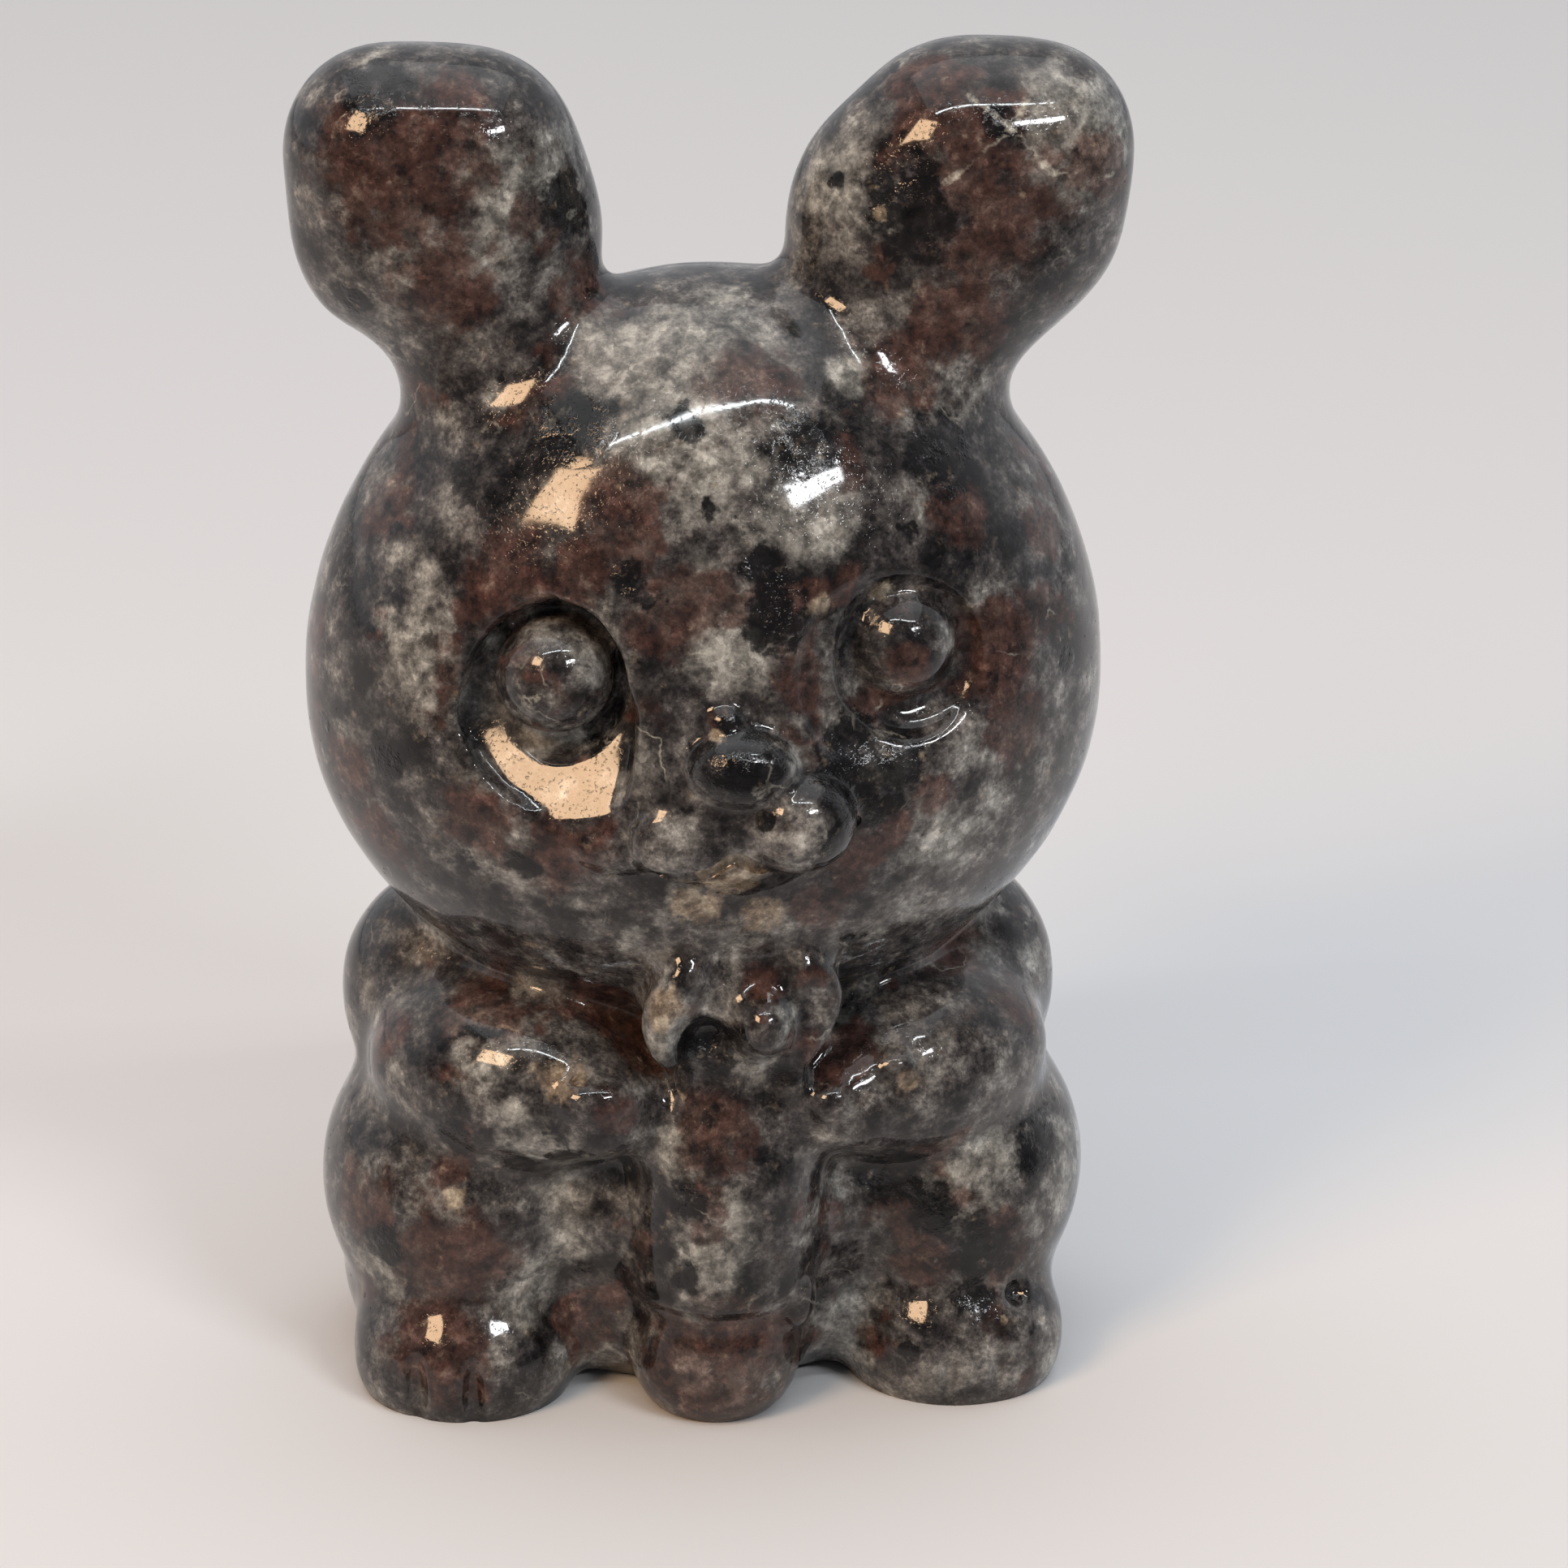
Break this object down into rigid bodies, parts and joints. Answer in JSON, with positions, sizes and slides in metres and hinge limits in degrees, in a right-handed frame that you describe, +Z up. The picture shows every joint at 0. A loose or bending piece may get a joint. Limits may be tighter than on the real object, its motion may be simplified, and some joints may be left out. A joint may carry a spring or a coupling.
{
  "type": "stone bear figurine",
  "caption": "Small seated bear carved from one piece of polished mottled stone, with two big paddle ears, holding what reads as a fish head down between its paws.",
  "frame": {"origin": "on the ground, under the middle of the overall box", "axes": "+Z up, -Y the way the bear faces, +X its left-hand side"},
  "size_m": [0.0386, 0.029, 0.0637],
  "materials": {
    "polished_stone": "polished dark grey stone mottled with rust brown, black and pale grey"
  },
  "bodies": {
    "root": {"bear": "polished_stone"}
  },
  "joints": []
}
